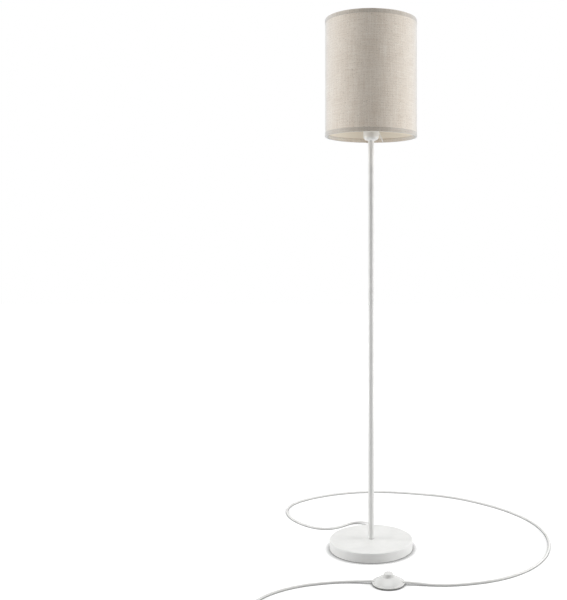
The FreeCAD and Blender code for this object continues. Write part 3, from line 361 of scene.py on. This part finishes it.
def coilRoute():
    turns = []
    edge = coil["start"]
    height = coil["low"]
    step = math.pi / coil["points"]
    reach = 1 / math.cos(step / 2)      # the spline runs through the middles between its points
    for k, radius in enumerate(coil["halfTurns"]):
        side = 1 if k % 2 == 0 else -1
        centre = edge + side * radius
        for n in range(coil["points"]):
            angle = (n + 0.5) * step
            if k == coil["climb"]:
                share = (n + 0.5) / coil["points"]
                height = coil["low"] + (coil["high"] - coil["low"]) * share
            turns.append((centre - side * reach * radius * math.cos(angle),
                          coil["y"] - side * reach * radius * math.sin(angle), height))
        if k == coil["climb"]:
            height = coil["high"]
        edge = centre + side * radius
    radius = coil["lastRadius"]
    centre = edge + radius
    for n in range(3):
        angle = (n + 0.5) * step
        turns.append((centre - reach * radius * math.cos(angle),
                      coil["y"] - reach * radius * math.sin(angle), height))
    turns.append((centre - 0.003, coil["y"] - radius, height))
    return turns


leadPiece = layWire("leadCord", leadRoute, cableRadius, softPvc)
tailPiece = layWire("tailAndCoilCord", tailRoute + coilRoute() + plugRoute, cableRadius, softPvc)
for piece in (leadPiece, tailPiece):
    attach(piece, "stand")
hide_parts("lead_cord")
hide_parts("tail_cord", "cord_coil", "plug_cord")
print("cords laid")


# spring under the foot button
spring = {"x": 0.042, "y": -0.241, "low": 0.00375, "high": 0.02512, "radius": 0.0065,
          "wire": 0.0005, "turns": 7, "closedPitch": 0.00105, "points": 12, "seat": 0.0032,
          "pressed": 0.844}


def springRoute():
    # one closed turn at each end and open turns between them
    turns = []
    reach = 1 / math.cos(math.pi / spring["points"])
    openTurns = spring["turns"] - 2
    openRise = spring["high"] - spring["low"] - 2 * spring["closedPitch"]
    for n in range(spring["turns"] * spring["points"] + 1):
        turn = n / spring["points"]
        angle = 2 * math.pi * turn
        climbed = min(turn, 1) + max(turn - 1 - openTurns, 0)
        share = min(max(turn - 1, 0), openTurns) / openTurns
        turns.append((spring["x"] + reach * spring["radius"] * math.cos(angle),
                      spring["y"] + reach * spring["radius"] * math.sin(angle),
                      spring["low"] + spring["closedPitch"] * climbed + openRise * share))
    return turns


springWire = layWire("buttonSpringWire", springRoute(), spring["wire"], zincPlate)
springPiece = bpy.data.objects.new("buttonSpring", meshOf(springWire))
bpy.context.collection.objects.link(springPiece)
bpy.data.objects.remove(springWire)
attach(springPiece, "stand")
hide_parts("button_spring")
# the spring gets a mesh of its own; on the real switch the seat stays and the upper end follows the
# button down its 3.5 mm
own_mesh(springPiece)
print("spring wound")


# shade
shade = {"low": 1.1155, "high": 1.4325, "clothRadius": 0.1245, "clothThickness": 0.0006,
         "edgeInset": 0.0025, "seamAngle": math.radians(90), "overlap": 0.012, "lapStep": 0.00065,
         "lapRamp": 0.007, "columns": 241, "rows": 9, "ripple": 0.00012}


def growMesh(name, tree, sizes, finish):
    # runs a geometry tree with these inputs and keeps its result as a plain mesh
    piece = bpy.data.objects.new(name, bpy.data.meshes.new(name))
    bpy.context.collection.objects.link(piece)
    maker = piece.modifiers.new("maker", "NODES")
    maker.node_group = tree
    values = {"Finish": finish, **sizes}
    for item in tree.interface.items_tree:
        if item.in_out == "INPUT":
            maker[item.identifier] = values[item.name]
    mesh = meshOf(piece)
    piece.modifiers.clear()
    piece.data = mesh
    return piece


def geometryTree(name, sizes):
    # geometry tree with a named input for each size, and its last three nodes
    tree = bpy.data.node_groups.new(name, "GeometryNodeTree")
    for label, value in sizes.items():
        kind = "NodeSocketInt" if isinstance(value, int) else "NodeSocketFloat"
        tree.interface.new_socket(label, in_out="INPUT", socket_type=kind)
    tree.interface.new_socket("Finish", in_out="INPUT", socket_type="NodeSocketMaterial")
    tree.interface.new_socket("Geometry", in_out="OUTPUT", socket_type="NodeSocketGeometry")
    given = tree.nodes.new("NodeGroupInput").outputs
    plain = tree.nodes.new("GeometryNodeRealizeInstances")
    coated = addNode(tree, "GeometryNodeSetMaterial",
                     links={"Geometry": plain.outputs[0], "Material": given["Finish"]})
    addNode(tree, "NodeGroupOutput", links={0: coated.outputs[0]})
    return tree, given, plain


rimAngle = math.radians(50)     # edges that turn more than this stay sharp


def giveWall(piece, thickness, offset):
    # thickens a sheet and keeps its rims sharp, so that they don't tilt the light on its faces
    wall = piece.modifiers.new("wall", "SOLIDIFY")
    wall.thickness = thickness
    wall.offset = offset
    mesh = meshOf(piece)
    piece.modifiers.clear()
    mesh.set_sharp_from_angle(angle=rimAngle)
    piece.data = mesh


def shadeClothTree(sizes):
    # bends a flat cut of cloth round the shade, its end lapped over its start
    tree, given, plain = geometryTree("shadeClothMaker", sizes)
    cut = addNode(tree, "GeometryNodeMeshGrid", links={
        "Size X": given["Cut Width"], "Size Y": given["Cut Height"],
        "Vertices X": given["Columns"], "Vertices Y": given["Rows"]})
    flat = addNode(tree, "ShaderNodeSeparateXYZ",
                   links={0: addNode(tree, "GeometryNodeInputPosition").outputs[0]})
    along = addNode(tree, "ShaderNodeMath", {2: 0.0}, {0: given["Cut Width"], 2: flat.outputs["X"]},
                    operation="MULTIPLY_ADD")
    along.inputs[1].default_value = 0.5
    up = addNode(tree, "ShaderNodeMath", {1: 0.5}, {0: given["Cut Height"], 2: flat.outputs["Y"]},
                 operation="MULTIPLY_ADD")
    lapEnd = addNode(tree, "ShaderNodeMath", links={0: given["Cut Width"], 1: given["Overlap"]},
                     operation="SUBTRACT")
    lapStart = addNode(tree, "ShaderNodeMath", {1: shade["lapRamp"]}, {0: lapEnd.outputs[0]},
                       operation="SUBTRACT")
    lift = addNode(tree, "ShaderNodeMapRange", links={
        "Value": along.outputs[0], "From Min": lapStart.outputs[0], "From Max": lapEnd.outputs[0],
        "To Max": given["Lap Step"]}, interpolation_type="SMOOTHSTEP")
    turn = addNode(tree, "ShaderNodeMath", links={0: along.outputs[0], 1: given["Radius"]},
                   operation="DIVIDE")
    angle = addNode(tree, "ShaderNodeMath", links={0: turn.outputs[0], 1: given["Seam Angle"]})
    cosine = addNode(tree, "ShaderNodeMath", links={0: angle.outputs[0]}, operation="COSINE")
    sine = addNode(tree, "ShaderNodeMath", links={0: angle.outputs[0]}, operation="SINE")
    around = addNode(tree, "ShaderNodeCombineXYZ", links={"X": cosine.outputs[0],
                                                          "Y": sine.outputs[0]})
    wave = addNode(tree, "ShaderNodeTexNoise", {"Scale": 3.5, "Detail": 1.0},
                   {"Vector": around.outputs[0]})
    centred = addNode(tree, "ShaderNodeMath", {1: 0.5}, {0: wave.outputs["Fac"]},
                      operation="SUBTRACT")
    ripple = addNode(tree, "ShaderNodeMath", links={
        0: centred.outputs[0], 1: given["Ripple"], 2: lift.outputs[0]}, operation="MULTIPLY_ADD")
    radius = addNode(tree, "ShaderNodeMath", links={0: ripple.outputs[0], 1: given["Radius"]})
    flung = addNode(tree, "ShaderNodeVectorMath", links={0: around.outputs[0],
                                                         "Scale": radius.outputs[0]},
                    operation="SCALE")
    height = addNode(tree, "ShaderNodeMath", links={0: up.outputs[0], 1: given["Lower Edge"]})
    rise = addNode(tree, "ShaderNodeCombineXYZ", links={"Z": height.outputs[0]})
    bent = addNode(tree, "ShaderNodeVectorMath", links={0: flung.outputs[0], 1: rise.outputs[0]})
    flatPlace = addNode(tree, "ShaderNodeCombineXYZ", links={"X": along.outputs[0],
                                                             "Y": up.outputs[0]})
    marked = addNode(tree, "GeometryNodeStoreNamedAttribute", {"Name": "UVMap"},
                     {"Geometry": cut.outputs["Mesh"], "Value": flatPlace.outputs[0]},
                     data_type="FLOAT2", domain="CORNER")
    placed = addNode(tree, "GeometryNodeSetPosition",
                     links={"Geometry": marked.outputs[0], "Position": bent.outputs[0]})
    smooth = addNode(tree, "GeometryNodeSetShadeSmooth", links={0: placed.outputs[0]})
    tree.links.new(smooth.outputs[0], plain.inputs[0])
    return tree


clothSizes = {
    "Radius": shade["clothRadius"],
    "Cut Width": 2 * math.pi * shade["clothRadius"] + shade["overlap"],
    "Cut Height": shade["high"] - shade["low"] - 2 * shade["edgeInset"],
    "Lower Edge": shade["low"] + shade["edgeInset"], "Seam Angle": shade["seamAngle"],
    "Overlap": shade["overlap"], "Lap Step": shade["lapStep"], "Ripple": shade["ripple"],
    "Columns": shade["columns"], "Rows": shade["rows"],
}
cloth = growMesh("shadeCloth", shadeClothTree(clothSizes), clothSizes, linenCloth)
giveWall(cloth, shade["clothThickness"], -1)

# line that the hem's cloth follows, as (radius, height above the shade's edge) in mm: down the
# outside, round film and wire, and up the inside to a flat flap on the film
hemLine = [
    (124.7, 11.4), (124.75, 10.2), (124.75, 7.5), (124.75, 5), (124.75, 2.4), (124.7, 1.5),
    (124.45, 0.8), (123.9, 0.38), (123.2, 0.25), (122.2, 0.25), (121.2, 0.25), (120.5, 0.38),
    (119.95, 0.8), (119.7, 1.5), (119.65, 2.6), (119.7, 4), (120.2, 5.2), (121.2, 6.2),
    (122.2, 7), (122.7, 7.8), (122.82, 8.8), (122.84, 11.4),
]
hem = {"columns": 288, "thickness": 0.00045, "waviness": 0.0001,
       "lapFall": 0.004, "climb": (0.007, 0.001)}     # before the end of a full turn


def smoothStep(low, high, value):
    share = min(1, max(0, (value - low) / (high - low)))
    return share * share * (3 - 2 * share)


swayScale = (9, 60)     # how quickly a strip's waviness changes round the shade and along its line


def wrapStrip(name, line, width, columns, lift, waviness, finish):
    # strip of cloth or film bent round the axis from the seam; lift is its distance from the line
    mesh = bpy.data.meshes.new(name)
    radius = shade["clothRadius"]
    vertices = []
    flat = []
    run = 0
    for n, (r, z) in enumerate(line):
        before = Vector(line[max(n - 1, 0)])
        after = Vector(line[min(n + 1, len(line) - 1)])
        heading = (after - before).normalized()
        outward = Vector((-heading.y, heading.x))
        run += (Vector((r, z)) - before).length * mm if n else 0
        for k in range(columns + 1):
            along = width * k / columns
            angle = shade["seamAngle"] + along / radius
            sway = noise.noise(Vector((math.cos(angle) * swayScale[0],
                                       math.sin(angle) * swayScale[0], run * swayScale[1])))
            offset = lift(along) + waviness * sway
            distance = r * mm + outward.x * offset
            vertices.append((distance * math.cos(angle), distance * math.sin(angle),
                             z * mm + outward.y * offset))
            flat.append((along, run))
    faces = []
    for n in range(len(line) - 1):
        for k in range(columns):
            first = n * (columns + 1) + k
            faces.append((first, first + columns + 1, first + columns + 2, first + 1))
    mesh.from_pydata(vertices, [], faces)
    mapLayer = mesh.uv_layers.new(name="UVMap")
    for loop in mesh.loops:
        mapLayer.data[loop.index].uv = flat[loop.vertex_index]
    mesh.shade_smooth()
    mesh.materials.append(finish)
    piece = bpy.data.objects.new(name, mesh)
    bpy.context.collection.objects.link(piece)
    return piece


hemTurn = 2 * math.pi * shade["clothRadius"]


def hemLift(along):
    # over the cloth's lap at the start, and over the hem's own start at the end
    fallen = smoothStep(shade["overlap"], shade["overlap"] + hem["lapFall"], along)
    climbStart, climbEnd = (hemTurn - before for before in hem["climb"])
    climbed = smoothStep(climbStart, climbEnd, along)
    return shade["lapStep"] * (1 - fallen) + (shade["lapStep"] + hem["thickness"]) * climbed


lowerLine = [(r, shade["low"] / mm + z) for r, z in hemLine]
upperLine = [(r, shade["high"] / mm - z) for r, z in reversed(hemLine)]
hems = []
for name, line in (("hemBottom", lowerLine), ("hemTop", upperLine)):
    band = wrapStrip(name, line, hemTurn + shade["overlap"], hem["columns"], hemLift,
                     hem["waviness"], hemLinenPaintedShade)
    giveWall(band, hem["thickness"], 0)
    hems.append(band)

# lapped end of the film, seen inside the shade
filmSeam = {"radius": 122.84, "width": 0.013, "thickness": 0.0004, "inset": 9.0}
seamLine = [(filmSeam["radius"], shade["low"] / mm + filmSeam["inset"]),
            (filmSeam["radius"], shade["high"] / mm - filmSeam["inset"])]
seamStrip = wrapStrip("filmSeam", seamLine, filmSeam["width"], 6, lambda along: 0, 0, shadeLining)
giveWall(seamStrip, filmSeam["thickness"], 0)
for piece, slot in ((cloth, "linen_cloth"), (hems[0], "linen_cloth"), (hems[1], "linen_cloth"),
                    (seamStrip, "shade_lining")):
    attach(piece, "shade")
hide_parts("shade_cloth")
print("shade made")


def rolledThreadTree(sizes):
    # thin metal sleeve with a round thread rolled into it, on a foot that slopes or lies flat
    tree, given, plain = geometryTree("rolledThreadMaker", sizes)
    sleeve = addNode(tree, "GeometryNodeMeshGrid", {"Size X": 2 * math.pi, "Size Y": 1.0},
                     {"Vertices X": given["Columns"], "Vertices Y": given["Rows"]})
    flat = addNode(tree, "ShaderNodeSeparateXYZ",
                   links={0: addNode(tree, "GeometryNodeInputPosition").outputs[0]})
    footEnd = -0.42     # along the flat sleeve, which runs from -0.5 to 0.5
    footShare = addNode(tree, "ShaderNodeMapRange", {"From Min": -0.5, "From Max": footEnd},
                        {"Value": flat.outputs["Y"]}).outputs[0]
    wallShare = addNode(tree, "ShaderNodeMapRange", {"From Min": footEnd, "From Max": 0.5},
                        {"Value": flat.outputs["Y"]}).outputs[0]
    footTop = addNode(tree, "ShaderNodeMath", links={0: given["Low"], 1: given["Foot Rise"]})
    wallRise = addNode(tree, "ShaderNodeMath", links={0: given["High"], 1: footTop.outputs[0]},
                       operation="SUBTRACT")
    onFoot = addNode(tree, "ShaderNodeMath", links={0: given["Foot Rise"], 1: footShare,
                                                    2: given["Low"]}, operation="MULTIPLY_ADD")
    height = addNode(tree, "ShaderNodeMath", links={0: wallRise.outputs[0], 1: wallShare,
                                                    2: onFoot.outputs[0]},
                     operation="MULTIPLY_ADD").outputs[0]
    runIn = addNode(tree, "ShaderNodeMath", links={0: given["Thread Low"], 1: given["Pitch"]})
    runOut = addNode(tree, "ShaderNodeMath", links={0: given["Thread High"], 1: given["Pitch"]},
                     operation="SUBTRACT")
    starts = addNode(tree, "ShaderNodeMapRange", links={
        "Value": height, "From Min": given["Thread Low"], "From Max": runIn.outputs[0]},
        interpolation_type="SMOOTHSTEP")
    ends = addNode(tree, "ShaderNodeMapRange", {"To Min": 1.0, "To Max": 0.0}, {
        "Value": height, "From Min": runOut.outputs[0], "From Max": given["Thread High"]},
        interpolation_type="SMOOTHSTEP")
    present = addNode(tree, "ShaderNodeMath", links={0: starts.outputs[0], 1: ends.outputs[0]},
                      operation="MULTIPLY")
    turns = addNode(tree, "ShaderNodeMath", links={0: height, 1: given["Pitch"]},
                    operation="DIVIDE")
    full = addNode(tree, "ShaderNodeMath", {1: 2 * math.pi}, {0: turns.outputs[0]},
                   operation="MULTIPLY")
    phase = addNode(tree, "ShaderNodeMath", links={0: full.outputs[0], 1: flat.outputs["X"]},
                    operation="SUBTRACT")
    wave = addNode(tree, "ShaderNodeMath", links={0: phase.outputs[0]}, operation="COSINE")
    dip = addNode(tree, "ShaderNodeMath", {1: -0.5, 2: 0.5}, {0: wave.outputs[0]},
                  operation="MULTIPLY_ADD")
    depth = addNode(tree, "ShaderNodeMath", links={0: dip.outputs[0], 1: given["Depth"]},
                    operation="MULTIPLY")
    kept = addNode(tree, "ShaderNodeMath", links={0: depth.outputs[0], 1: present.outputs[0]},
                   operation="MULTIPLY")
    rolled = addNode(tree, "ShaderNodeMath", links={0: given["Radius"], 1: kept.outputs[0]},
                     operation="SUBTRACT")
    radius = addNode(tree, "ShaderNodeMapRange", links={
        "Value": footShare, "To Min": given["Foot Radius"], "To Max": rolled.outputs[0]})
    cosine = addNode(tree, "ShaderNodeMath", links={0: flat.outputs["X"]}, operation="COSINE")
    sine = addNode(tree, "ShaderNodeMath", links={0: flat.outputs["X"]}, operation="SINE")
    around = addNode(tree, "ShaderNodeCombineXYZ", links={"X": cosine.outputs[0],
                                                          "Y": sine.outputs[0]})
    flung = addNode(tree, "ShaderNodeVectorMath", links={0: around.outputs[0],
                                                         "Scale": radius.outputs[0]},
                    operation="SCALE")
    rise = addNode(tree, "ShaderNodeCombineXYZ", links={"Z": height})
    bent = addNode(tree, "ShaderNodeVectorMath", links={0: flung.outputs[0], 1: rise.outputs[0]})
    placed = addNode(tree, "GeometryNodeSetPosition",
                     links={"Geometry": sleeve.outputs["Mesh"], "Position": bent.outputs[0]})
    joined = addNode(tree, "GeometryNodeMergeByDistance", {"Distance": 0.00001},
                     {"Geometry": placed.outputs[0]})
    smooth = addNode(tree, "GeometryNodeSetShadeSmooth", links={0: joined.outputs[0]})
    tree.links.new(smooth.outputs[0], plain.inputs[0])
    return tree


lampCap = {"Radius": 0.0131, "Depth": 0.0009, "Pitch": 0.00363, "Low": 1.1582, "High": 1.1782,
           "Foot Radius": 0.0107, "Foot Rise": 0.0026, "Thread Low": 1.1602,
           "Thread High": 1.1752, "Columns": 73, "Rows": 72}
holderShell = dict(lampCap, Radius=0.01395, Low=1.151, High=1.1768)
holderShell.update({"Foot Radius": 0.008, "Foot Rise": 0.0, "Thread Low": 1.1535,
                    "Thread High": 1.1762, "Rows": 90})
threadTree = rolledThreadTree(lampCap)
for name, sizes, node, thickness, finish, slot in (
        ("lampCapThread", lampCap, "lamp_cap", 0.0005, nickelPlate, "nickel_plated_brass"),
        ("holderThread", holderShell, "thread_shell", 0.0004, stampedBrass, "brass")):
    sleeve = growMesh(name, threadTree, sizes, finish)
    giveWall(sleeve, thickness, -1)
    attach(sleeve, "stand")
    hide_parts(node)
print("rolled threads made")


# floor
floorSize = 9.0
floorMesh = bpy.data.meshes.new("floor")
floorMesh.from_pydata([(-floorSize, -floorSize, 0), (floorSize, -floorSize, 0),
                       (floorSize, floorSize, 0), (-floorSize, floorSize, 0)], [], [(0, 1, 2, 3)])
floor = bpy.data.objects.new("floor", floorMesh)
bpy.context.collection.objects.link(floor)
floorLook = {
    "seen": "#f9f9f9", "bounce": "#dfdfdf",
    "glow": 0.19, "glowRises": 1.0, "glowFull": 2.1,      # at these distances from the lamp
    # painted shadow on the paper: its reach, the occlusion above which none is painted, and its
    # depth
    "shadowReach": 0.026, "unshadowedOcclusion": 0.84, "shadowDepth": 2.8,
}


def lookedAt(tree):
    # 1 where the camera looks, straight or by a mirror or glass, and 0 for light that bounces
    rays = addNode(tree, "ShaderNodeLightPath").outputs
    seen = addNode(tree, "ShaderNodeMath", links={0: rays["Is Camera Ray"],
                                                  1: rays["Is Glossy Ray"]}, operation="MAXIMUM")
    looked = addNode(tree, "ShaderNodeMath", links={0: seen.outputs[0],
                                                    1: rays["Is Transmission Ray"]},
                     operation="MAXIMUM")
    return looked.outputs[0]


def paperFinish():
    # matt white studio paper: seen almost white with its shadows, which a painted shadow deepens
    # close under edges, bouncing a plain amount of light
    material = bpy.data.materials.new("studioPaper")
    material.use_nodes = True
    tree = material.node_tree
    tree.nodes.clear()
    place = addNode(tree, "ShaderNodeTexCoord").outputs["Object"]
    distance = addNode(tree, "ShaderNodeVectorMath", links={0: place}, operation="LENGTH")
    glow = addNode(tree, "ShaderNodeMapRange",
                   {"From Min": floorLook["glowRises"], "From Max": floorLook["glowFull"],
                    "To Min": floorLook["glow"], "To Max": 1.0},
                   {"Value": distance.outputs["Value"]})
    # painted shadow: the paper's seen colour darkens with occlusion close under an edge, so shadows
    # deepen there
    shadowOcclusion = addNode(tree, "ShaderNodeAmbientOcclusion", {"Distance": floorLook["shadowReach"]},
                  samples=8)
    closed = addNode(tree, "ShaderNodeMapRange", {"From Max": floorLook["unshadowedOcclusion"]},
                     {"Value": shadowOcclusion.outputs["AO"]})
    paintedShadow = addNode(tree, "ShaderNodeMath", {1: floorLook["shadowDepth"]},
                   {0: closed.outputs[0]}, operation="POWER")
    tone = addNode(tree, "ShaderNodeMix", {"A": (0, 0, 0, 1), "B": linear(floorLook["seen"])},
                   {"Factor": paintedShadow.outputs[0]}, data_type="RGBA")
    paper = addNode(tree, "ShaderNodeBsdfDiffuse", links={"Color": tone.outputs["Result"]})
    lit = addNode(tree, "ShaderNodeEmission", links={"Strength": glow.outputs[0]})
    both = addNode(tree, "ShaderNodeAddShader", links={0: paper.outputs[0], 1: lit.outputs[0]})
    bounce = addNode(tree, "ShaderNodeBsdfDiffuse", {"Color": linear(floorLook["bounce"])})
    chosen = addNode(tree, "ShaderNodeMixShader", links={
        0: lookedAt(tree), 1: bounce.outputs[0], 2: both.outputs[0]})
    addNode(tree, "ShaderNodeOutputMaterial", links={"Surface": chosen.outputs[0]})
    return material


floorMesh.materials.append(paperFinish())

# light
lightSetup = {
    "ambient": 0.225, "aim": (0, 0, 0.9),
    "boxes": {   # place, size and power; each box faces the aim
        "leftBox": ((-2.0, -0.05, 0.85), (1.1, 2.3), 32.5),
        "rightBox": ((2.0, -0.05, 0.85), (1.1, 2.3), 36.5),
        "topBox": ((0, 0, 3.4), (2.2, 2.2), 57),
    },
}
for name, (place, (width, height), power) in lightSetup["boxes"].items():
    lamp = bpy.data.lights.new(name, "AREA")
    lamp.shape = "RECTANGLE"
    lamp.size = width
    lamp.size_y = height
    lamp.energy = power
    box = bpy.data.objects.new(name, lamp)
    box.location = place
    aim = Vector(lightSetup["aim"]) - Vector(place)
    box.rotation_euler = aim.to_track_quat("-Z", "Y").to_euler()
    box.visible_camera = False
    bpy.context.collection.objects.link(box)

world = bpy.data.worlds.new("studio")
bpy.context.scene.world = world
world.use_nodes = True
sky = world.node_tree
sky.nodes.clear()
level = addNode(sky, "ShaderNodeMapRange", {"To Min": lightSetup["ambient"], "To Max": 1.0},
                {"Value": lookedAt(sky)})
background = addNode(sky, "ShaderNodeBackground", links={"Strength": level.outputs[0]})
background.inputs["Color"].default_value = (1, 1, 1, 1)
addNode(sky, "ShaderNodeOutputWorld", links={"Surface": background.outputs[0]})
bpy.context.scene.view_settings.view_transform = "Standard"
print("floor and light set")
